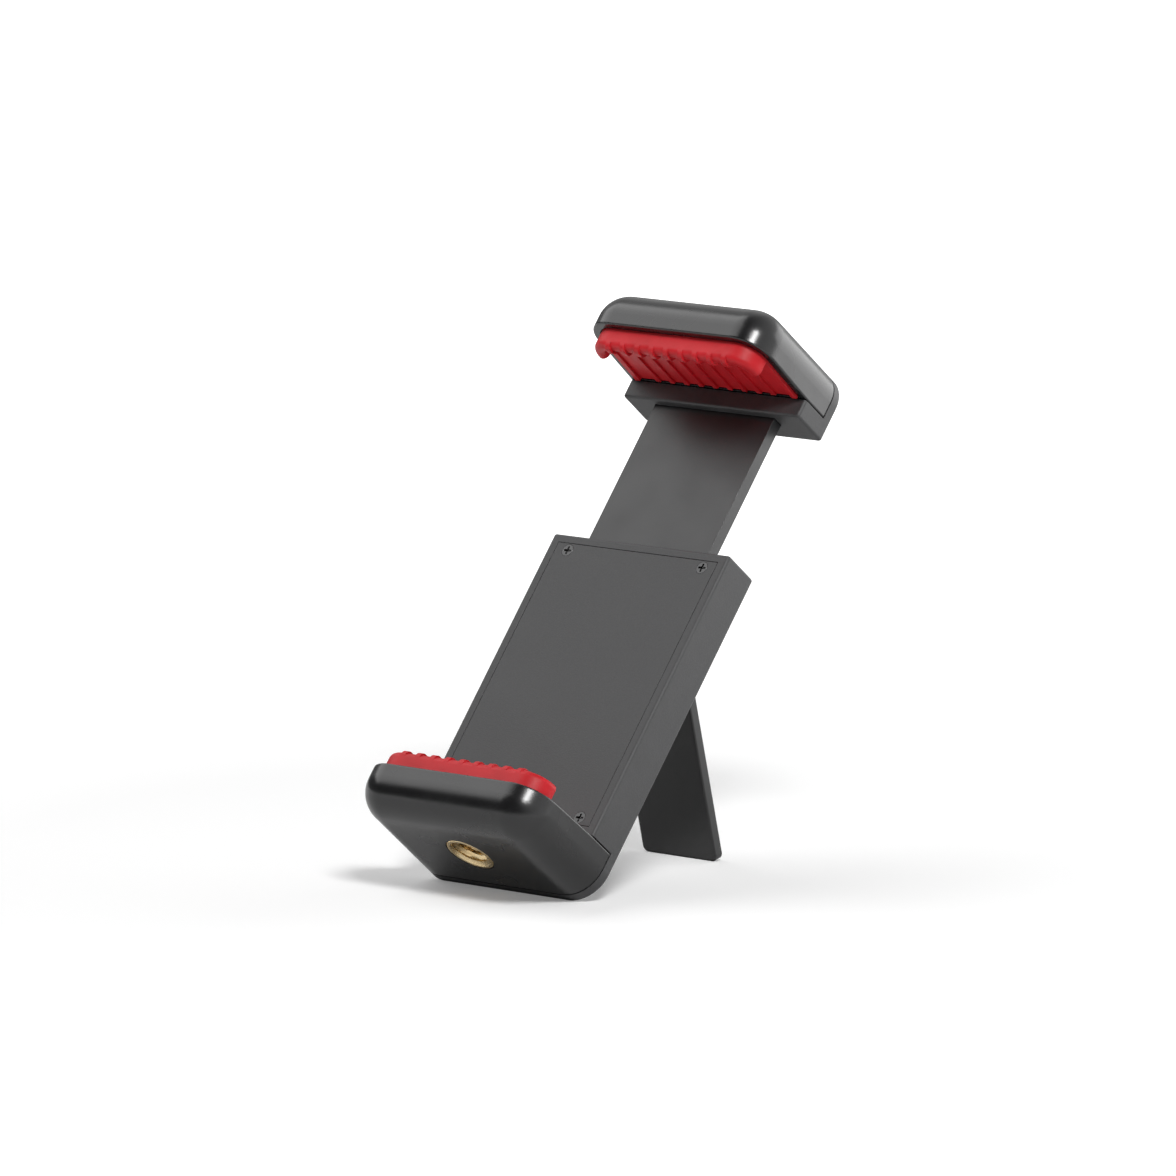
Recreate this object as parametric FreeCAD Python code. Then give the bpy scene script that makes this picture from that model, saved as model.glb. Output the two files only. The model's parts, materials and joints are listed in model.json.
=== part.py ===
import FreeCAD, Part
import math
import os

os.makedirs("parts", exist_ok=True)

# Spring-loaded phone clamp that screws to a tripod, or stands on its own fold-out leg.
# All sizes are in millimetres. The clamp is drawn upright and is leant back at the end:
# x runs across it, y from the front of the jaws to the back of the spine, and z up the spine
# from the outer face of the lower jaw.

# Whole clamp
clamp_width = 35.4
clamp_depth = 22.8
grip_now = 77.8             # gap between the pads as modelled
grip_least = 53.0
grip_most = 83.0

# Jaw mouldings
jaw_height = 8.05           # outer face to the gripping face of the pad
front_rim = 7.3             # outer face to the rim at the front
rear_rim = 7.9              # outer face to the rim at the back
jaw_wall = 1.3
jaw_floor = 1.8
corner_round = 5.5          # upright corners at the front
edge_round = 5.2            # edge of the outer face, round the front and the sides
back_round = 0.6            # edge round the back face, which the clamp stands on
rim_round = 0.3
rib_thick = 1.1
rib_inset = 6.2             # jaw's side to the middle of each rib

# Back plate that closes each jaw
plate_wall = 1.9
seam_gap = 0.25

# Rubber pads and the rigid plates that carry them
pad_gap = 0.12
pocket_gap = 0.3            # back wall of the pad's pocket to the front of the spine
plate_thick = 0.8
pad_thick = 1.9             # plate to gripping face
grip_rib_pitch = 2.9
grip_rib_width = 0.9
grip_rib_rise = 0.35        # ribs above the pad's floor, the inside of the lip and its tip
lip_height = 2.4            # lip above the gripping face, between the ribs
lip_thick = 2.1
lip_return = 4.2            # how far the lip comes back along each side
lip_round = 1.0
side_lip = 0.35             # pad edge above the side rims
side_lip_width = 1.0

# Tripod socket
socket_radius = 4.0
socket_length = 5.2
thread_radius = 2.6         # tips of the 1/4 inch thread
socket_mouth_radius = 3.3
socket_to_spine = 3.6       # axis of the socket to the front of the spine
boss_wall = 2.0

# Spine housing
spine_thick = 7.2
spine_clearance = 0.1
cover_thick = 1.3
cover_gap = 0.1
side_wall = 1.6
cover_low_edge = 1.3        # housing left below the cover
cover_top_edge = 1.4        # housing left above the cover
back_floor = 1.5            # wall between the slide and the leg's recess
spine_edge = 0.5            # upright edges at the front
spine_end_round = 0.4       # edge round the spine's free end
stub_height = 3.0           # short length of spine under the upper jaw
closed_gap = 0.3

# Sliding arm
arm_beside = 5.7            # spine's side to the arm
arm_thick = 2.0
arm_gap = 0.2
arm_foot = 13.0             # lower end of the arm with the clamp shut
foot_gap = 0.5              # below it, to the end of the slide
ear_reach = 1.4             # each ear beyond the arm's side
ear_height = 5.0
root_end = 2.4              # outer face of a jaw to the end of the socket for the arm
root_gap = 0.1

# Extension springs and their posts
spring_x = 6.0
wire_radius = 0.2
coil_radius = 0.8
hook_radius = 0.9
ring_overlap = 0.1          # how far the coil runs into the ring at each end
spring_turns = 11.25        # the quarter turn sets the two rings at right angles
post_radius = 0.5
low_post_z = 15.5
post_seat = 0.5             # depth of each low post's seat
post_gap = 0.1              # end of each low post to the cover
spring_shut = 10.5          # post to pin with the clamp shut
spring_slot = 2.8
cross_pin_radius = 0.4
cross_pin_reach = 1.2       # beyond each spring slot
pin_fit = 0.02

# Fold-out leg
leg_open = 53.0             # angle between the open leg and the spine
leg_axis_z = 49.65
leg_length = 40.55
leg_width = 14.8
leg_thick = 1.8
foot_round = 1.0            # corners of the leg's foot
leg_edge_round = 0.3        # edges round both faces of the leg
leg_gap = 0.2
leg_side_gap = 0.3
leg_inset = 0.1
barrel_radius = 1.25
pin_radius = 0.6
pin_clearance = 0.05
pin_overhang = 2.4
scoop_radius = 7.0
scoop_depth = 0.9
scoop_width = 11.0

# Screws
screw_radius = 0.6
screw_head_radius = 1.0
screw_head_depth = 0.6
screw_length = 4.2
screw_wall = 0.75           # between the arm's slide and each cover screw
screw_inset = 1.2           # each cover screw from the end of the cover
root_screw_radius = 0.8
root_screw_head_radius = 1.1
root_screw_head_depth = 0.9
root_screw_length = 4.4
root_screw_inset = 3.5      # arm's side to the axis of each screw
head_gap = 0.1              # heads of these screws to the pad's plate
screw_fit = 0.05
driver_slot = 0.35          # width of the cross for the driver
driver_reach = 0.7          # centre to the end of each arm of the cross
driver_depth = 0.4

# How far each cut runs past the face that it opens
past = 1.0

# Places closer than this are the same place
same_place = 0.001

# Least rounding of an inner corner
least_round = 0.4

# Sizes that follow from those above
half_width = clamp_width / 2
rib_x = half_width - rib_inset
arm_half = half_width - arm_beside
slide_half = arm_half + arm_gap
spine_front = clamp_depth - spine_thick
spine_low = rear_rim + spine_clearance
socket_y = spine_front - socket_to_spine
travel_now = grip_now - grip_least
travel_most = grip_most - grip_least
height_now = grip_now + 2 * jaw_height
height_shut = grip_least + 2 * jaw_height
spine_top = height_shut - rear_rim - spine_clearance - stub_height - closed_gap
slide_front = spine_front + cover_thick
arm_front = slide_front + arm_gap
arm_back = arm_front + arm_thick
slide_back = arm_back + arm_gap
slide_low = arm_foot - foot_gap
ear_stop = arm_foot + ear_height + travel_most + closed_gap
recess_floor = slide_back + back_floor
leg_front = recess_floor + leg_gap
leg_back = leg_front + leg_thick
leg_axis_y = leg_back - leg_inset - barrel_radius
leg_half = leg_width / 2
recess_half = leg_half + leg_side_gap
spring_y = (arm_front + arm_back) / 2
pocket_back = spine_front - pocket_gap
plate_low = jaw_height - pad_thick - plate_thick
pad_low = jaw_height - pad_thick
root_screw_z = plate_low - root_screw_head_radius - head_gap
pin_z = low_post_z + spring_shut + travel_now
cover_half = half_width - side_wall
cover_low = spine_low + cover_low_edge + cover_gap
cover_high = spine_top - cover_top_edge - cover_gap
screw_x = slide_half + screw_wall + screw_radius
root_screw_x = arm_half - root_screw_inset


def vec(x, y, z):
    return FreeCAD.Vector(x, y, z)


def block(x0, x1, y0, y1, z0, z1):
    return Part.makeBox(x1 - x0, y1 - y0, z1 - z0, vec(x0, y0, z0))


def rod_x(radius, y, z, x0, x1):
    return Part.makeCylinder(radius, x1 - x0, vec(x0, y, z), vec(1, 0, 0))


def rod_y(radius, x, z, y0, y1):
    return Part.makeCylinder(radius, y1 - y0, vec(x, y0, z), vec(0, 1, 0))


def rod_z(radius, x, y, z0, z1):
    return Part.makeCylinder(radius, z1 - z0, vec(x, y, z0), vec(0, 0, 1))


def joined(shapes):
    return shapes[0].fuse(shapes[1:]).removeSplitter()


def side_profile(points, half):
    """Solid with an outline of (y, z) points, from one side of the clamp to the other."""
    corners = [vec(-half, y, z) for y, z in points]
    return Part.Face(Part.makePolygon(corners + corners[:1])).extrude(vec(2 * half, 0, 0))


def lies_at(edge, axis, value):
    """True if the ends and the middle of an edge all have this coordinate."""
    first, last = edge.ParameterRange
    spots = (first, (first + last) / 2, last)
    return all(abs(getattr(edge.valueAt(spot), axis) - value) < same_place for spot in spots)


def upright_at(shape, y):
    """Edges parallel to z at one depth."""
    return [e for e in shape.Edges if lies_at(e, "y", y) and e.BoundBox.ZLength > same_place
            and e.BoundBox.XLength < same_place]


def turned_over(shape):
    """The same piece on the upper jaw, which mirrors the lower one."""
    return shape.mirror(vec(0, 0, height_now / 2), vec(0, 0, 1))


def rim_at(y):
    """Height of the side rim, which rises from the front to the spine."""
    return front_rim + (rear_rim - front_rim) * min(y / spine_front, 1.0)


def lies_on_rim(edge):
    """True if an edge follows the height of the side rim."""
    return all(abs(point.z - rim_at(point.y)) < same_place for point in edge.discretize(5))


def pocket_form(inset, low, top, back):
    """Rounded-front block that follows the inside of a jaw at one inset from its faces."""
    x = half_width - inset
    shape = block(-x, x, inset, back, low, top)
    return shape.makeFillet(corner_round - inset, upright_at(shape, inset))


def jaw_form():
    """Outer form of a jaw end: rounded at the front and sides, flat at the back."""
    form = pocket_form(0.0, 0.0, spine_low, clamp_depth)
    outer_edges = [e for e in form.Edges if lies_at(e, "z", 0.0) and not lies_at(e, "y", clamp_depth)]
    form = form.makeFillet(edge_round, outer_edges)
    back_edges = [e for e in form.Edges if lies_at(e, "y", clamp_depth) and not lies_at(e, "z", spine_low)]
    return form.makeFillet(back_round, back_edges)


def root_screw_places():
    return [-root_screw_x, root_screw_x]


def make_jaw(with_socket):
    """Hollow jaw moulding with the ribs that carry the pad's plate."""
    back = clamp_depth - plate_wall - seam_gap
    below_rim = side_profile([(0, 0), (0, front_rim), (spine_front, rear_rim), (back, rear_rim), (back, 0)],
                             half_width)
    jaw = jaw_form().common(below_rim)
    rim_edges = [e for e in jaw.Edges if lies_on_rim(e) and not lies_at(e, "y", spine_front)
                 and not lies_at(e, "y", back)]
    jaw = jaw.makeFillet(rim_round, rim_edges)
    hollow = pocket_form(jaw_wall, jaw_floor, rear_rim + past, pocket_back)
    floor_edges = [e for e in hollow.Edges if lies_at(e, "z", jaw_floor) and not lies_at(e, "y", pocket_back)]
    hollow = hollow.makeFillet(edge_round - jaw_floor, floor_edges)
    jaw = jaw.cut(hollow)
    inner = half_width - jaw_wall
    ribs = [block(x - rib_thick / 2, x + rib_thick / 2, 0, pocket_back, 0, plate_low) for x in (-rib_x, rib_x)]
    ribs.append(block(-inner, inner, socket_y - rib_thick / 2, socket_y + rib_thick / 2, 0, plate_low))
    ribs.append(rod_z(socket_radius + boss_wall, 0, socket_y, 0, plate_low))
    head_room = joined([rod_y(root_screw_head_radius + head_gap, x, root_screw_z,
                              pocket_back - root_screw_head_depth - head_gap, pocket_back)
                        for x in root_screw_places()])
    jaw = joined([jaw] + [rib.common(hollow).cut(head_room) for rib in ribs])
    if with_socket:
        jaw = jaw.cut(rod_z(socket_radius, 0, socket_y, -past, socket_length))
    slot_half = arm_half + root_gap
    slot = block(-slot_half, slot_half, arm_front - root_gap, arm_back + root_gap, root_end, rear_rim + past)
    jaw = jaw.cut(slot)
    for x in root_screw_places():
        jaw = jaw.cut(rod_y(root_screw_radius + screw_fit, x, root_screw_z,
                            pocket_back - past, pocket_back + root_screw_length + screw_fit))
    return jaw


def make_pad_plate():
    """Rigid plate that the rubber is moulded on; it rests on the jaw's ribs."""
    return pocket_form(jaw_wall + pad_gap, plate_low, pad_low, pocket_back - pad_gap)


def make_pad_lip():
    """Lip that hooks over the phone's edge and turns back along both sides."""
    inset = jaw_wall + pad_gap
    top = jaw_height + lip_height
    outer = pocket_form(inset, pad_low, top, pocket_back)
    x = half_width - inset - lip_thick
    inner = block(-x, x, inset + lip_thick, clamp_depth, pad_low - past, top + past)
    inner_corner = max(corner_round - inset - lip_thick, least_round)
    inner = inner.makeFillet(inner_corner, upright_at(inner, inset + lip_thick))
    lip = outer.cut(inner)
    tip_edges = [e for e in lip.Edges if lies_at(e, "z", top) and not lies_at(e, "y", pocket_back)]
    behind = block(-half_width, half_width, inset + lip_return, clamp_depth, 0, top + past)
    return lip.makeFillet(lip_round, tip_edges).cut(behind)


def grip_rib_places():
    count = int((half_width - corner_round) / grip_rib_pitch)
    return [grip_rib_pitch * step for step in range(-count, count + 1)]


def make_grip_rib(x):
    """Rib that runs over the lip's tip, down its inside and along the pad to its back."""
    front = jaw_wall + pad_gap
    inside = front + lip_thick + grip_rib_rise
    back = pocket_back - pad_gap
    tip = jaw_height + lip_height + grip_rib_rise
    rib = side_profile([(front, pad_low), (front, tip), (inside, tip), (inside, jaw_height),
                        (back, jaw_height), (back, pad_low)], grip_rib_width / 2)
    tip_edges = [e for e in rib.Edges if lies_at(e, "z", tip) and e.BoundBox.YLength < same_place]
    rib = rib.makeFillet(lip_round, tip_edges)
    rib.translate(vec(x, 0, 0))
    return rib


def make_pad():
    """Rubber pad with its front lip, its side edges and the ribs that grip the phone."""
    inset = jaw_wall + pad_gap
    back = pocket_back - pad_gap
    body = pocket_form(inset, pad_low, jaw_height - grip_rib_rise, back)
    side_x = half_width - inset
    front_y = corner_round
    edge = side_profile([(front_y, pad_low), (front_y, rim_at(front_y) + side_lip),
                         (back, rim_at(back) + side_lip), (back, pad_low)], side_x)
    gap = block(-side_x + side_lip_width, side_x - side_lip_width, 0, clamp_depth, 0, rear_rim + past)
    return joined([body, make_pad_lip(), edge.cut(gap)] + [make_grip_rib(x) for x in grip_rib_places()])


def make_socket():
    """Brass tripod socket, with a countersunk mouth in the outer face."""
    socket = rod_z(socket_radius, 0, socket_y, 0, socket_length)
    socket = socket.cut(rod_z(thread_radius, 0, socket_y, -past, socket_length + past))
    mouth_depth = socket_mouth_radius - thread_radius
    mouth = Part.makeCone(socket_mouth_radius, thread_radius, mouth_depth, vec(0, socket_y, 0))
    return socket.cut(mouth)


def make_root_screws():
    """Screws that hold the arm, or the housing's tongue, in a jaw."""
    screws = []
    for x in root_screw_places():
        shank = rod_y(root_screw_radius, x, root_screw_z, pocket_back, pocket_back + root_screw_length)
        head = rod_y(root_screw_head_radius, x, root_screw_z, pocket_back - root_screw_head_depth, pocket_back)
        screws.append(with_cross_slot(joined([shank, head]), x, root_screw_z,
                                      pocket_back - root_screw_head_depth))
    return screws


def with_cross_slot(screw, x, z, face_y):
    """Cut a cross for the driver into a screw's head."""
    half = driver_slot / 2
    y0 = face_y - past
    y1 = face_y + driver_depth
    tall = block(x - half, x + half, y0, y1, z - driver_reach, z + driver_reach)
    wide = block(x - driver_reach, x + driver_reach, y0, y1, z - half, z + half)
    return screw.cut(joined([tall, wide]))


def cover_screw_places():
    return [(x, z) for x in (-screw_x, screw_x) for z in (cover_low + screw_inset, cover_high - screw_inset)]


def countersunk(radius, head_radius, x, z, y0, length):
    """Screw form with a conical head, its flat face at y0."""
    shank = rod_y(radius, x, z, y0, y0 + length)
    head = Part.makeCone(head_radius, radius, screw_head_depth, vec(x, y0, z), vec(0, 1, 0))
    return joined([shank, head])


def make_cover_screws():
    return [with_cross_slot(countersunk(screw_radius, screw_head_radius, x, z, spine_front, screw_length),
                            x, z, spine_front) for x, z in cover_screw_places()]


def cover_screw_holes():
    return [countersunk(screw_radius + screw_fit, screw_head_radius + screw_fit, x, z, spine_front,
                        screw_length + screw_fit) for x, z in cover_screw_places()]


def spine_block(low, top):
    """Length of the spine's outer form."""
    shape = block(-half_width, half_width, spine_front, clamp_depth, low, top)
    shape = shape.makeFillet(back_round, upright_at(shape, clamp_depth))
    shape = shape.makeFillet(spine_edge, upright_at(shape, spine_front))
    return shape.makeFillet(spine_end_round, [e for e in shape.Edges if lies_at(e, "z", top)])


def back_plate():
    """Plate that goes on from the spine and closes the back of a jaw."""
    y = clamp_depth - plate_wall
    return jaw_form().common(block(-half_width, half_width, y, clamp_depth, 0, spine_low))


def leg_plate(spread, y0, y1):
    """The leg's plate, or the form of its recess, which is wider by a gap."""
    half = leg_half + spread
    low = leg_axis_z - leg_length - spread
    plate = block(-half, half, y0, y1, low, leg_axis_z)
    corners = [e for e in plate.Edges if lies_at(e, "z", low) and e.BoundBox.XLength < same_place]
    return plate.makeFillet(foot_round + spread, corners)


def make_housing():
    """Back housing: the slide, the leg's recess, the tongue and the plate behind the jaw."""
    tongue = block(-arm_half, arm_half, arm_front, arm_back, root_end + root_gap, spine_low + past)
    housing = joined([spine_block(spine_low, spine_top), back_plate(), tongue])
    ear_half = slide_half + ear_reach
    cuts = [
        block(-slide_half, slide_half, slide_front, slide_back, slide_low, spine_top + past),
        block(-ear_half, ear_half, slide_front, slide_back, slide_low, ear_stop),
        block(-cover_half, cover_half, spine_front - past, slide_front,
              cover_low - cover_gap, cover_high + cover_gap),
        leg_plate(leg_side_gap, recess_floor, clamp_depth + past),
        rod_x(barrel_radius + leg_gap, leg_axis_y, leg_axis_z, -recess_half, recess_half),
        block(-recess_half, recess_half, leg_axis_y, clamp_depth + past,
              leg_axis_z - past, leg_axis_z + barrel_radius + leg_gap),
        leg_pin_form(pin_radius + pin_fit),
        finger_scoop(),
    ]
    cuts += cover_screw_holes()
    cuts += [rod_y(root_screw_radius + screw_fit, x, root_screw_z, arm_front - past, arm_back + past)
             for x in root_screw_places()]
    cuts += [rod_y(post_radius + pin_fit, x, low_post_z, slide_back - past, slide_back + post_seat)
             for x in (-spring_x, spring_x)]
    for tool in cuts:
        housing = housing.cut(tool)
    return housing


def finger_scoop():
    """Scoop below the leg's foot, where a finger lifts it."""
    y = clamp_depth - scoop_depth + scoop_radius
    z = leg_axis_z - leg_length - leg_side_gap
    return rod_x(scoop_radius, y, z, -scoop_width / 2, scoop_width / 2)


def make_cover():
    """Front cover of the spine, which the phone's back faces."""
    cover = block(-cover_half + cover_gap, cover_half - cover_gap, spine_front, slide_front,
                  cover_low, cover_high)
    for hole in cover_screw_holes():
        cover = cover.cut(hole)
    return cover


def make_low_posts():
    return [rod_y(post_radius, x, low_post_z, slide_front + post_gap, slide_back + post_seat)
            for x in (-spring_x, spring_x)]


def make_spring(x):
    """Extension spring: a stretched coil with a ring at each end."""
    rise = math.sqrt(hook_radius ** 2 - coil_radius ** 2) - ring_overlap
    low = low_post_z + rise
    coil_length = pin_z - low_post_z - 2 * rise
    path = Part.makeHelix(coil_length / spring_turns, coil_length, coil_radius)
    section = Part.Wire(Part.makeCircle(wire_radius, vec(coil_radius, 0, 0), vec(0, 1, 0)))
    coil = Part.Wire(path).makePipeShell([section], True, True)
    coil.translate(vec(x, spring_y, low))
    ring_low = Part.makeTorus(hook_radius, wire_radius, vec(x, spring_y, low_post_z), vec(0, 1, 0))
    ring_high = Part.makeTorus(hook_radius, wire_radius, vec(x, spring_y, pin_z), vec(1, 0, 0))
    return coil.fuse([ring_low, ring_high])


def make_arm():
    """Flat arm of the upper jaw, forked at its foot for the springs, with two stop ears."""
    half = arm_half
    low = arm_foot + travel_now
    top = height_now - root_end - root_gap
    arm = block(-half, half, arm_front, arm_back, low, top)
    ears = block(-half - ear_reach, half + ear_reach, arm_front, arm_back, low, low + ear_height)
    arm = joined([arm, ears])
    for x in (-spring_x, spring_x):
        top_round = rod_y(spring_slot / 2, x, pin_z + hook_radius, arm_front - past, arm_back + past)
        slot = block(x - spring_slot / 2, x + spring_slot / 2, arm_front - past, arm_back + past,
                     low - past, pin_z + hook_radius)
        arm = arm.cut(slot).cut(top_round)
    arm = arm.cut(cross_pin_form(cross_pin_radius + pin_fit))
    for x in root_screw_places():
        arm = arm.cut(rod_y(root_screw_radius + screw_fit, x, height_now - root_screw_z,
                            arm_front - past, arm_back + past))
    return arm


def cross_pin_form(radius):
    reach = spring_x + spring_slot / 2 + cross_pin_reach
    return rod_x(radius, spring_y, pin_z, -reach, reach)


def make_upper_back():
    """Piece that closes the back of the upper jaw round the arm."""
    piece = joined([spine_block(spine_low, spine_low + stub_height), back_plate()])
    slot_half = arm_half + root_gap
    slot = block(-slot_half, slot_half, arm_front - root_gap, arm_back + root_gap, 0, spine_top)
    return turned_over(piece.cut(slot))


def leg_pin_form(radius):
    reach = recess_half + pin_overhang
    return rod_x(radius, leg_axis_y, leg_axis_z, -reach, reach)


def make_leg():
    """Fold-out leg: a flat plate with a hinge barrel and rounded corners at its foot."""
    plate = leg_plate(0.0, leg_front, leg_back)
    face_edges = [e for e in plate.Edges if (lies_at(e, "y", leg_front) or lies_at(e, "y", leg_back))
                  and not lies_at(e, "z", leg_axis_z)]
    plate = plate.makeFillet(leg_edge_round, face_edges)
    barrel = rod_x(barrel_radius, leg_axis_y, leg_axis_z, -leg_half, leg_half)
    bore = rod_x(pin_radius + pin_clearance, leg_axis_y, leg_axis_z, -leg_half - past, leg_half + past)
    return joined([plate, barrel]).cut(bore)


def lean_angle():
    """Lean in degrees that sets both the back edge and the open leg's foot on the surface."""
    swing = math.radians(leg_open)
    reach = leg_length - leg_edge_round
    inner = leg_axis_y - leg_front - leg_edge_round
    foot_y = leg_axis_y + reach * math.sin(swing) - inner * math.cos(swing)
    foot_z = leg_axis_z - reach * math.cos(swing) - inner * math.sin(swing)
    along = foot_y - (clamp_depth - back_round)
    up = foot_z - back_round
    return math.degrees(math.atan2(up, along) + math.asin((back_round - leg_edge_round) / math.hypot(along, up)))


def leant(shape):
    shape = shape.copy()
    shape.rotate(vec(0, 0, 0), vec(1, 0, 0), -lean_angle())
    return shape


leg = make_leg()
leg.rotate(vec(0, leg_axis_y, leg_axis_z), vec(1, 0, 0), leg_open)

nodes = {
    "lower_jaw": make_jaw(True),
    "lower_pad_plate": make_pad_plate(),
    "lower_pad": make_pad(),
    "tripod_socket": make_socket(),
    "lower_jaw_screws": Part.makeCompound(make_root_screws()),
    "back_housing": make_housing(),
    "front_cover": make_cover(),
    "cover_screws": Part.makeCompound(make_cover_screws()),
    "spring_posts": Part.makeCompound(make_low_posts()),
    "left_spring": make_spring(-spring_x),
    "right_spring": make_spring(spring_x),
    "leg_pin": leg_pin_form(pin_radius),
    "slide_arm": make_arm(),
    "spring_cross_pin": cross_pin_form(cross_pin_radius),
    "upper_jaw": turned_over(make_jaw(False)),
    "upper_pad_plate": turned_over(make_pad_plate()),
    "upper_pad": turned_over(make_pad()),
    "upper_jaw_screws": turned_over(Part.makeCompound(make_root_screws())),
    "upper_back": make_upper_back(),
    "stand_leg": leg,
}

placed = {name: leant(shape) for name, shape in nodes.items()}
box = Part.makeCompound(list(placed.values())).optimalBoundingBox(False, False)
shift = vec(0, -(box.YMin + box.YMax) / 2, -box.ZMin)
print("lean", lean_angle(), "shift", shift, "size", box.XLength, box.YLength, box.ZLength)
for name, shape in placed.items():
    shape.translate(shift)
    shape.exportStep("parts/" + name + ".step")
    print(name, shape.isValid(), len(shape.Solids), round(shape.Volume, 2))
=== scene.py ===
import json
import math

import bmesh
import bpy
from mathutils import Matrix, Vector


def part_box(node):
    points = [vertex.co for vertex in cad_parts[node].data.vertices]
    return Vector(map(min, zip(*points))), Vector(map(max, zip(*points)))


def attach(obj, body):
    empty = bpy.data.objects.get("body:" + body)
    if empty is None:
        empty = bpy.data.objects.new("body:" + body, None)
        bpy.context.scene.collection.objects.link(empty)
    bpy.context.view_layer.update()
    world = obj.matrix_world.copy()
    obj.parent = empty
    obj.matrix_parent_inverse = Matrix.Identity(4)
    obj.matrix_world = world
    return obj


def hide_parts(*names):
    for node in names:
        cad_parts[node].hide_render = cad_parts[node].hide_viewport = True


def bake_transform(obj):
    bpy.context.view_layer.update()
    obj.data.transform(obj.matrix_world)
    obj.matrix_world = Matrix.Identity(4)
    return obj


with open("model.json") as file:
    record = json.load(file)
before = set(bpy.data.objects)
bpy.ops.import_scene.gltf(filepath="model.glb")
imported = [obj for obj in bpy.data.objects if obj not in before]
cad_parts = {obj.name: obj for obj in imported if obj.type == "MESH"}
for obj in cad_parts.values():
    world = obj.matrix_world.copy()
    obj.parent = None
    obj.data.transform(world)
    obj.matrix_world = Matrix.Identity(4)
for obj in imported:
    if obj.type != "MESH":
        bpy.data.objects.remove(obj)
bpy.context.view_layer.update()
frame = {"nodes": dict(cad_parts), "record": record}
cad_nodes = frame["nodes"]

MM = 0.001

# Lean of the clamp, read from the direction in which the upper jaw slides
ACROSS = Vector((1, 0, 0))
slide_joint = [j for j in frame["record"]["behaviour"]["joints"] if j["name"] == "jaw_slide"][0]
UP_SPINE = Vector(slide_joint["axis"]).normalized()
TO_BACK = UP_SPINE.cross(ACROSS)

# Tripod socket: 1/4 inch thread, 20 turns to the inch
SOCKET_RADIUS = 4.0 * MM
SOCKET_LENGTH = 5.2 * MM
SOCKET_SIDES = 72
RIM_BEVEL = 0.18 * MM
MOUTH_RADIUS = 3.3 * MM
THREAD_START = 0.45 * MM
THREAD_TIP = 2.6 * MM
THREAD_ROOT = 3.1 * MM
THREAD_PITCH = 1.27 * MM
THREAD_FLAT = 0.12       # share of the pitch that is flat at the tip, and at the root
THREAD_ROWS = 8          # rows of points in each pitch
SHARP_EDGE = 30          # degrees from which an edge stays sharp

# Fineness of the patterns, in features per metre, and the range in which most of a noise lies
PLASTIC_MOTTLE = 160.0
RUBBER_GRAIN = 5200.0
RUBBER_MOTTLE = 220.0
BRASS_MARKS = 2600.0
BRASS_MOTTLE = 500.0
STEEL_MARKS = 3800.0
NOISE_LOW = 0.3
NOISE_HIGH = 0.7

# Moulded plastic: its refraction, and how its tone follows the grain and the mottle
PLASTIC_IOR = 1.57
GRAIN_SHARE = 0.6
MOTTLE_LOW = -0.05
MOTTLE_HIGH = 0.35

# Lighter edges, partly wear and partly a painted highlight: the cosine of the turn that counts as
# a full edge, and how light it gets
EDGE_COSINE = 0.8
EDGE_SHARE = 0.35
EDGE_GAIN = 2.2

# Painted shade in seams: seams narrower than the reach get less reflection, so they look dark;
# openness and gloss in a seam and on an open face
SEAM_REACH = 0.6 * MM
SEAM_OPENNESS = 0.30
FACE_OPENNESS = 0.80
SEAM_GLOSS = 0.05
FACE_GLOSS = 0.5

# Camera of the photograph
PHOTO_PIXELS = 1176
FOCAL_PIXELS = 10938
SENSOR_WIDTH = 36.0
FARTHEST_SEEN = 20.0
CAMERA_AT = Vector((1.08116, -1.22977, 0.28919))
CAMERA_AZIMUTH = 41.394
CAMERA_ELEVATION = 8.529
CAMERA_ROLL = 0.098

# Room: its bright sides, which reflections show, and the plain light that it throws
BACKDROP_SIDE = (0.75, 0.66, 0.0)
HIGH_LEFT_SIDE = (-0.65, 0.45, 0.61)
WORLD_FILL = 0.09
WHITE = (1, 1, 1, 1)

# Floor: its colour, its plain glow for the camera, and the one that grows with the distance
FLOOR_SIZE = 6.0
FLOOR_COLOUR = (0.86, 0.86, 0.86, 1)
FLOOR_LIFT = 0.13
GLOW_STARTS = 0.10
GLOW_FULL = 0.60
LEAST_GLOW = 0.05


def new_material(name):
    """Empty procedural material, its nodes and its main shader."""
    material = bpy.data.materials.new(name)
    material.use_nodes = True
    tree = material.node_tree
    return material, tree, tree.nodes["Principled BSDF"]


def add_node(tree, kind, **settings):
    """Node with its settings, which are inputs where it has one of that name."""
    node = tree.nodes.new(kind)
    for key, value in settings.items():
        if key in node.inputs:
            node.inputs[key].default_value = value
        else:
            setattr(node, key, value)
    return node


def combined(tree, operation, first, second, use_clamp=False):
    """Sum or product of two values; the second may be a plain number."""
    node = add_node(tree, "ShaderNodeMath", operation=operation, use_clamp=use_clamp)
    tree.links.new(first, node.inputs[0])
    if isinstance(second, float):
        node.inputs[1].default_value = second
    else:
        tree.links.new(second, node.inputs[1])
    return node.outputs[0]


def span(tree, value, low, high, out_low, out_high):
    """Map a value from one range to another."""
    node = add_node(tree, "ShaderNodeMapRange")
    node.inputs["From Min"].default_value = low
    node.inputs["From Max"].default_value = high
    node.inputs["To Min"].default_value = out_low
    node.inputs["To Max"].default_value = out_high
    tree.links.new(value, node.inputs["Value"])
    return node.outputs["Result"]


def noise(tree, scale, detail=2.0, roughness=0.5):
    """Noise in object space; scale is in features per metre."""
    place = add_node(tree, "ShaderNodeTexCoord")
    texture = add_node(tree, "ShaderNodeTexNoise", Scale=scale, Detail=detail, Roughness=roughness)
    tree.links.new(place.outputs["Object"], texture.inputs["Vector"])
    return texture.outputs["Fac"]


def spread(tree, pattern, out_low, out_high):
    """Map the range in which most of a noise lies to another range."""
    return span(tree, pattern, NOISE_LOW, NOISE_HIGH, out_low, out_high)


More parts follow.
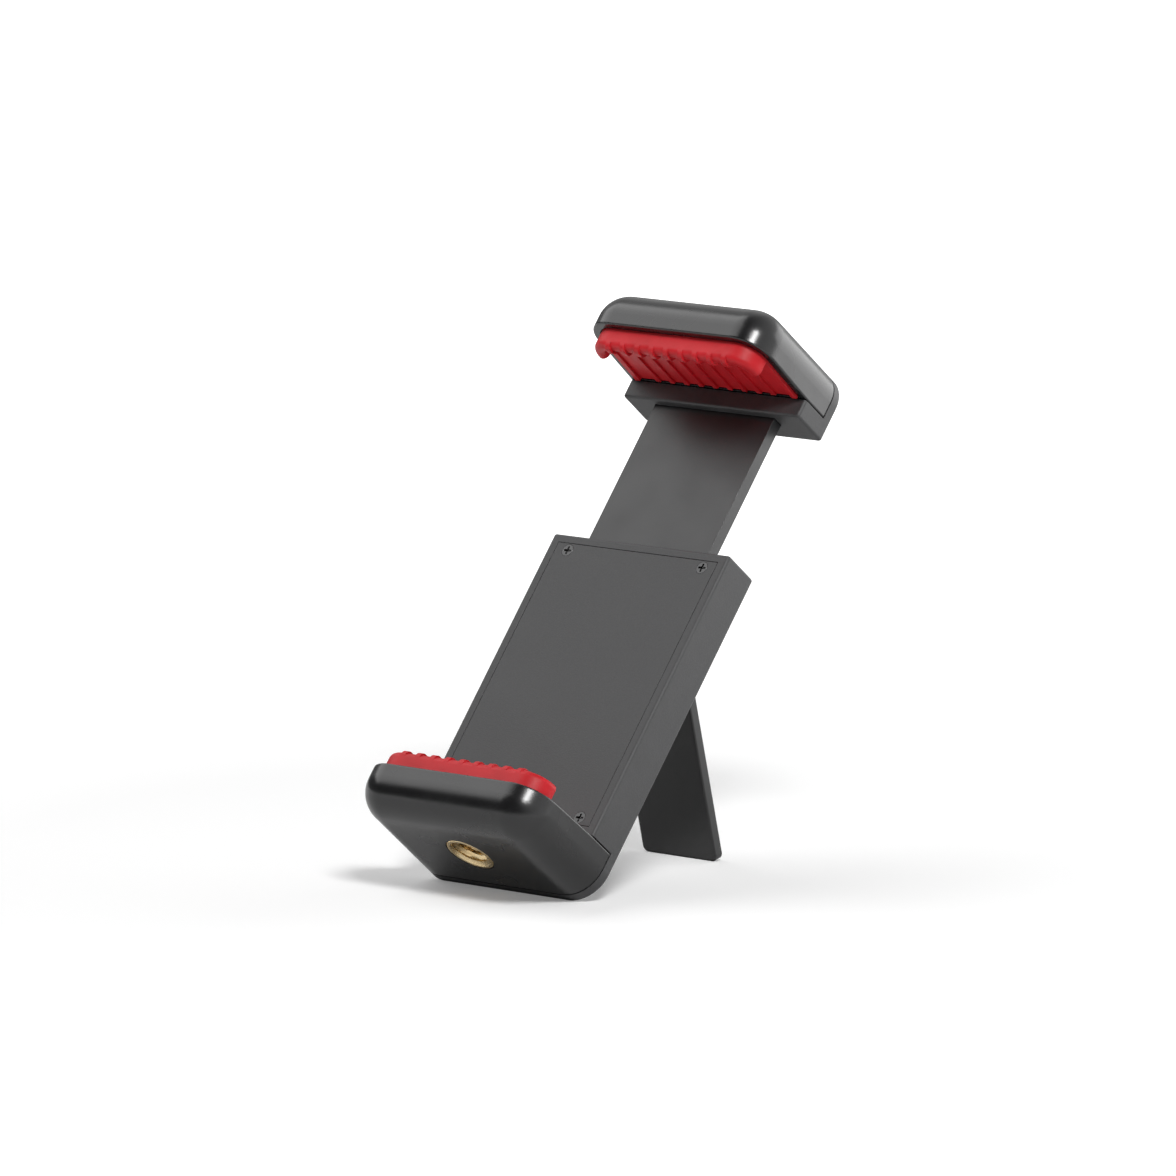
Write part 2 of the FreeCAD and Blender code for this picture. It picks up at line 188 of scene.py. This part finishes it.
def tint(tree, value, dark, light):
    """Colour that goes from one tone to another with a value from 0 to 1."""
    node = add_node(tree, "ShaderNodeMix", data_type="RGBA")
    node.inputs[6].default_value = (*dark, 1)
    node.inputs[7].default_value = (*light, 1)
    tree.links.new(value, node.inputs["Factor"])
    return node.outputs[2]


def softened(tree, radius):
    """Direction of the surface, with its edges rounded by a small radius."""
    return add_node(tree, "ShaderNodeBevel", samples=4, Radius=radius).outputs["Normal"]


def bump(tree, shader, height, depth, edge_radius):
    """Relief of a real depth in metres, on softened edges."""
    node = add_node(tree, "ShaderNodeBump", Distance=depth, Strength=1.0)
    tree.links.new(height, node.inputs["Height"])
    tree.links.new(softened(tree, edge_radius), node.inputs["Normal"])
    tree.links.new(node.outputs["Normal"], shader.inputs["Normal"])


def worn_and_highlighted_edges(tree, edge_radius):
    """Value that is 0 on faces and rises on sharp edges, where the colour is painted lighter,
    partly as wear and partly as a painted highlight.
    """
    facing = add_node(tree, "ShaderNodeNewGeometry")
    turn = add_node(tree, "ShaderNodeVectorMath", operation="DOT_PRODUCT")
    tree.links.new(softened(tree, edge_radius), turn.inputs[0])
    tree.links.new(facing.outputs["Normal"], turn.inputs[1])
    return span(tree, turn.outputs["Value"], 1.0, EDGE_COSINE, 0.0, EDGE_SHARE)


def gloss_with_painted_seam_shade(tree):
    """Gloss that is full on open faces and falls in seams and crevices, as painted shade."""
    shade = add_node(tree, "ShaderNodeAmbientOcclusion", samples=6, Distance=SEAM_REACH)
    return span(tree, shade.outputs["AO"], SEAM_OPENNESS, FACE_OPENNESS, SEAM_GLOSS, FACE_GLOSS)


def moulded_plastic(name, dark, light, roughness, grain, grain_depth, edge=0.12 * MM):
    """Moulded plastic with a fine spark-eroded grain, edges painted lighter, partly as wear and
    partly as a painted highlight, and painted shade in its seams.
    """
    material, tree, shader = new_material(name)
    fine = noise(tree, grain, detail=3.0)
    broad = noise(tree, PLASTIC_MOTTLE)
    tone = combined(tree, "ADD", combined(tree, "MULTIPLY", fine, GRAIN_SHARE),
                    spread(tree, broad, MOTTLE_LOW, MOTTLE_HIGH), True)
    colour = add_node(tree, "ShaderNodeMix", data_type="RGBA")
    # Edges get a lighter colour: partly wear, partly a painted highlight.
    tree.links.new(worn_and_highlighted_edges(tree, edge), colour.inputs["Factor"])
    tree.links.new(tint(tree, tone, dark, light), colour.inputs[6])
    colour.inputs[7].default_value = (*[min(1.0, part * EDGE_GAIN) for part in light], 1)
    tree.links.new(colour.outputs[2], shader.inputs["Base Color"])
    tree.links.new(span(tree, broad, 0.25, 0.75, roughness - 0.04, roughness + 0.05),
                   shader.inputs["Roughness"])
    shader.inputs["IOR"].default_value = PLASTIC_IOR
    # Less reflection in seams and crevices: painted shade.
    tree.links.new(gloss_with_painted_seam_shade(tree), shader.inputs["Specular IOR Level"])
    bump(tree, shader, fine, grain_depth, edge)
    return material


def grip_rubber():
    """Red rubber: saturated in the light, with a soft sheen."""
    material, tree, shader = new_material("grip_rubber_finish")
    fine = noise(tree, RUBBER_GRAIN, detail=3.0)
    broad = noise(tree, RUBBER_MOTTLE, detail=3.0)
    base = tint(tree, spread(tree, broad, 0.0, 1.0), (0.47, 0.007, 0.012), (0.57, 0.012, 0.020))
    tree.links.new(base, shader.inputs["Base Color"])
    tree.links.new(spread(tree, fine, 0.42, 0.54), shader.inputs["Roughness"])
    shader.inputs["IOR"].default_value = 1.5
    shader.inputs["Specular IOR Level"].default_value = 0.30
    bump(tree, shader, fine, 0.02 * MM, 0.15 * MM)
    return material


def turned_brass():
    """Bright turned brass with faint tool marks."""
    material, tree, shader = new_material("turned_brass_finish")
    marks = noise(tree, BRASS_MARKS, detail=4.0, roughness=0.7)
    broad = noise(tree, BRASS_MOTTLE)
    base = tint(tree, spread(tree, broad, 0.0, 1.0), (0.74, 0.53, 0.26), (0.87, 0.70, 0.42))
    tree.links.new(base, shader.inputs["Base Color"])
    tree.links.new(spread(tree, marks, 0.2, 0.34), shader.inputs["Roughness"])
    shader.inputs["Metallic"].default_value = 1.0
    bump(tree, shader, marks, 0.0025 * MM, 0.06 * MM)
    return material


def drawn_steel(name, dark, light, roughness):
    """Steel wire, pins and screws with fine scratches."""
    material, tree, shader = new_material(name)
    marks = noise(tree, STEEL_MARKS, detail=4.0, roughness=0.7)
    tree.links.new(tint(tree, marks, dark, light), shader.inputs["Base Color"])
    tree.links.new(spread(tree, marks, roughness - 0.06, roughness + 0.08),
                   shader.inputs["Roughness"])
    shader.inputs["Metallic"].default_value = 1.0
    bump(tree, shader, marks, 0.004 * MM, 0.05 * MM)
    return material


def all_finishes():
    """Finish of each material slot of the record."""
    return {
        "jaw_plastic": moulded_plastic(
            "jaw_plastic_finish", dark=(0.0035, 0.0035, 0.004), light=(0.0065, 0.0065, 0.007),
            roughness=0.25, grain=6000.0, grain_depth=0.003 * MM, edge=0.15 * MM),
        "housing_plastic": moulded_plastic(
            "housing_plastic_finish", dark=(0.018, 0.018, 0.019), light=(0.050, 0.050, 0.052),
            roughness=0.55, grain=4200.0, grain_depth=0.02 * MM, edge=0.15 * MM),
        "arm_plastic": moulded_plastic(
            "arm_plastic_finish", dark=(0.006, 0.006, 0.0065), light=(0.011, 0.011, 0.012),
            roughness=0.38, grain=5200.0, grain_depth=0.006 * MM),
        "stand_plastic": moulded_plastic(
            "stand_plastic_finish", dark=(0.003, 0.003, 0.0035), light=(0.006, 0.006, 0.0065),
            roughness=0.42, grain=5000.0, grain_depth=0.008 * MM, edge=0.15 * MM),
        "plate_plastic": moulded_plastic(
            "plate_plastic_finish", dark=(0.05, 0.05, 0.05), light=(0.08, 0.08, 0.08),
            roughness=0.5, grain=4000.0, grain_depth=0.01 * MM),
        "grip_rubber": grip_rubber(),
        "brass": turned_brass(),
        "steel": drawn_steel(
            "steel_finish", dark=(0.42, 0.42, 0.43), light=(0.60, 0.60, 0.61), roughness=0.3),
        "screw_steel": drawn_steel(
            "screw_steel_finish", dark=(0.06, 0.06, 0.062), light=(0.12, 0.12, 0.12),
            roughness=0.38),
    }


def dress_cad_nodes(finishes):
    """Give every CAD node the finish of its slot."""
    for part in frame["record"]["subparts"]:
        node = cad_nodes[part["node"]]
        finish = finishes[part["material_slot"]]
        if not node.material_slots:
            node.data.materials.append(finish)
        for place in node.material_slots:
            place.material = finish


def socket_ring(mesh, height, radii):
    """Ring of points round the socket's axis, each at its own radius."""
    ring = []
    for k, radius in enumerate(radii):
        angle = 2 * math.pi * k / SOCKET_SIDES
        ring.append(mesh.verts.new((radius * math.cos(angle), radius * math.sin(angle), height)))
    return ring


def join_rings(mesh, rings):
    """Wall of faces from each ring to the next."""
    for first, second in zip(rings, rings[1:]):
        for k in range(SOCKET_SIDES):
            after = (k + 1) % SOCKET_SIDES
            mesh.faces.new((second[k], second[after], first[after], first[k]))


def thread_radius(height, share):
    """Radius of the thread at a height and a share of a turn."""
    phase = (height / THREAD_PITCH + share) % 1.0
    tooth = (abs(2 * phase - 1) - THREAD_FLAT) / (1 - 2 * THREAD_FLAT)
    return THREAD_TIP + (THREAD_ROOT - THREAD_TIP) * min(max(tooth, 0.0), 1.0)


def thread_rings(mesh, low, high):
    """Helical thread between two heights: a zigzag whose phase turns once for each pitch."""
    rows = int((high - low) / (THREAD_PITCH / THREAD_ROWS))
    heights = [low + (high - low) * row / rows for row in range(rows + 1)]
    shares = [k / SOCKET_SIDES for k in range(SOCKET_SIDES)]
    return [socket_ring(mesh, height, [thread_radius(height, share) for share in shares])
            for height in heights]


def smooth_shade(data):
    """Smooth shading that keeps the sharp edges."""
    for face in data.polygons:
        face.use_smooth = True
    data.set_sharp_from_angle(angle=math.radians(SHARP_EDGE))


def make_threaded_socket(finish):
    """Turned socket with a real thread, in the place of the plain one."""
    mesh = bmesh.new()
    outline = [(SOCKET_RADIUS, SOCKET_LENGTH), (SOCKET_RADIUS, RIM_BEVEL),
               (SOCKET_RADIUS - RIM_BEVEL, 0.0), (MOUTH_RADIUS + RIM_BEVEL / 2, 0.0),
               (MOUTH_RADIUS - RIM_BEVEL / 2, RIM_BEVEL)]
    outside = [socket_ring(mesh, height, [radius] * SOCKET_SIDES) for radius, height in outline]
    thread = thread_rings(mesh, THREAD_START, SOCKET_LENGTH)
    join_rings(mesh, outside + thread + outside[:1])
    bmesh.ops.recalc_face_normals(mesh, faces=mesh.faces)
    data = bpy.data.meshes.new("threaded_socket")
    mesh.to_mesh(data)
    mesh.free()
    socket = bpy.data.objects.new("threaded_socket", data)
    bpy.context.scene.collection.objects.link(socket)
    low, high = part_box("tripod_socket")
    centre = (Vector(low) + Vector(high)) / 2
    outer_face = centre - UP_SPINE * SOCKET_LENGTH / 2
    turn = Matrix((ACROSS, TO_BACK, UP_SPINE)).transposed().to_4x4()
    data.transform(Matrix.Translation(outer_face) @ turn)
    data.materials.append(finish)
    smooth_shade(data)
    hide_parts("tripod_socket")
    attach(socket, "base")


def make_stretching_spring(node):
    """Copy of a spring, fixed where it stands, in the place of the CAD one."""
    mesh = cad_nodes[node].data.copy()
    spring = bpy.data.objects.new("stretching_" + node, mesh)
    bpy.context.scene.collection.objects.link(spring)
    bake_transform(spring)
    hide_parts(node)


def seen_directly(tree):
    """1 for the camera and for what reflections and clear pieces show, 0 for other light."""
    path = add_node(tree, "ShaderNodeLightPath")
    reflected = combined(tree, "ADD", path.outputs["Is Glossy Ray"],
                         path.outputs["Is Transmission Ray"])
    return combined(tree, "ADD", path.outputs["Is Camera Ray"], reflected, True)


def make_floor():
    """Pale floor that is white far from the clamp and keeps its shadow."""
    bpy.ops.mesh.primitive_plane_add(size=FLOOR_SIZE, location=(0, 0, 0))
    floor = bpy.context.object
    floor.name = "floor"
    material, tree, shader = new_material("pale_floor")
    shader.inputs["Base Color"].default_value = FLOOR_COLOUR
    shader.inputs["Roughness"].default_value = 0.9
    shader.inputs["Specular IOR Level"].default_value = 0.1
    place = add_node(tree, "ShaderNodeTexCoord")
    away = add_node(tree, "ShaderNodeVectorMath", operation="LENGTH")
    tree.links.new(place.outputs["Object"], away.inputs[0])
    far = span(tree, away.outputs["Value"], GLOW_STARTS, GLOW_FULL, LEAST_GLOW, 1.0)
    path = add_node(tree, "ShaderNodeLightPath")
    backdrop = combined(tree, "MULTIPLY", seen_directly(tree), far)
    lift = combined(tree, "MULTIPLY", path.outputs["Is Camera Ray"], FLOOR_LIFT)
    whiteness = add_node(tree, "ShaderNodeEmission", Color=WHITE)
    tree.links.new(combined(tree, "ADD", backdrop, lift), whiteness.inputs["Strength"])
    both = add_node(tree, "ShaderNodeAddShader")
    tree.links.new(shader.outputs[0], both.inputs[0])
    tree.links.new(whiteness.outputs[0], both.inputs[1])
    tree.links.new(both.outputs[0], tree.nodes["Material Output"].inputs["Surface"])
    floor.data.materials.append(material)


def room_glow(tree, side, start, full, strength):
    """Brightness of one side of the room, from the cosine of the angle to its middle."""
    place = add_node(tree, "ShaderNodeTexCoord")
    towards = add_node(tree, "ShaderNodeVectorMath", operation="DOT_PRODUCT")
    tree.links.new(place.outputs["Generated"], towards.inputs[0])
    towards.inputs[1].default_value = Vector(side).normalized()
    return span(tree, towards.outputs["Value"], start, full, 0.0, strength)


def make_world():
    """White background; reflections see a room that is bright behind and high on the left."""
    world = bpy.data.worlds.new("studio")
    bpy.context.scene.world = world
    world.use_nodes = True
    tree = world.node_tree
    background = tree.nodes["Background"]
    path = add_node(tree, "ShaderNodeLightPath")
    white = combined(tree, "ADD", path.outputs["Is Camera Ray"],
                     path.outputs["Is Transmission Ray"], True)
    room = combined(tree, "ADD",
                    room_glow(tree, BACKDROP_SIDE, start=-0.2, full=0.85, strength=1.0),
                    room_glow(tree, HIGH_LEFT_SIDE, start=0.82, full=0.93, strength=0.45))
    reflected = combined(tree, "MULTIPLY", room, path.outputs["Is Glossy Ray"])
    shown = combined(tree, "ADD", white, reflected)
    background.inputs["Color"].default_value = WHITE
    tree.links.new(combined(tree, "ADD", shown, WORLD_FILL), background.inputs["Strength"])


def softbox(name, place, target, width, height, watts):
    """Soft rectangular light that faces its target."""
    light = bpy.data.lights.new(name, "AREA")
    light.shape = "RECTANGLE"
    light.size = width
    light.size_y = height
    light.energy = watts
    lamp = bpy.data.objects.new(name, light)
    lamp.location = place
    lamp.rotation_euler = (Vector(target) - lamp.location).to_track_quat("-Z", "Y").to_euler()
    bpy.context.scene.collection.objects.link(lamp)


def make_lights():
    """Broad light high on the left, a key on the right, and a low one for the right sides."""
    middle = (0, 0, 0.045)
    softbox("left_sky", (-0.90, -0.26, 1.05), middle, width=1.25, height=1.25, watts=10)
    softbox("right_key", (0.55, -0.37, 0.75), middle, width=0.26, height=0.22, watts=6.8)
    softbox("low_back", (0.165, 0.37, 0.14), (0.02, 0.03, 0.14),
            width=0.44, height=0.28, watts=0.85)


def make_camera():
    """Camera at the photograph's place and angle."""
    camera = bpy.data.objects.new("camera", bpy.data.cameras.new("camera"))
    camera.data.sensor_width = SENSOR_WIDTH
    camera.data.lens = SENSOR_WIDTH * FOCAL_PIXELS / PHOTO_PIXELS
    camera.data.clip_end = FARTHEST_SEEN
    azimuth = Matrix.Rotation(math.radians(CAMERA_AZIMUTH), 4, "Z")
    elevation = Matrix.Rotation(math.radians(90 - CAMERA_ELEVATION), 4, "X")
    roll = Matrix.Rotation(math.radians(CAMERA_ROLL), 4, "Z")
    camera.matrix_world = Matrix.Translation(CAMERA_AT) @ azimuth @ elevation @ roll
    bpy.context.scene.collection.objects.link(camera)
    bpy.context.scene.camera = camera


finishes = all_finishes()
dress_cad_nodes(finishes)
make_threaded_socket(finishes["brass"])
for spring_node in ("left_spring", "right_spring"):
    make_stretching_spring(spring_node)
make_floor()
make_world()
make_lights()
make_camera()
bpy.context.scene.view_settings.view_transform = "Standard"
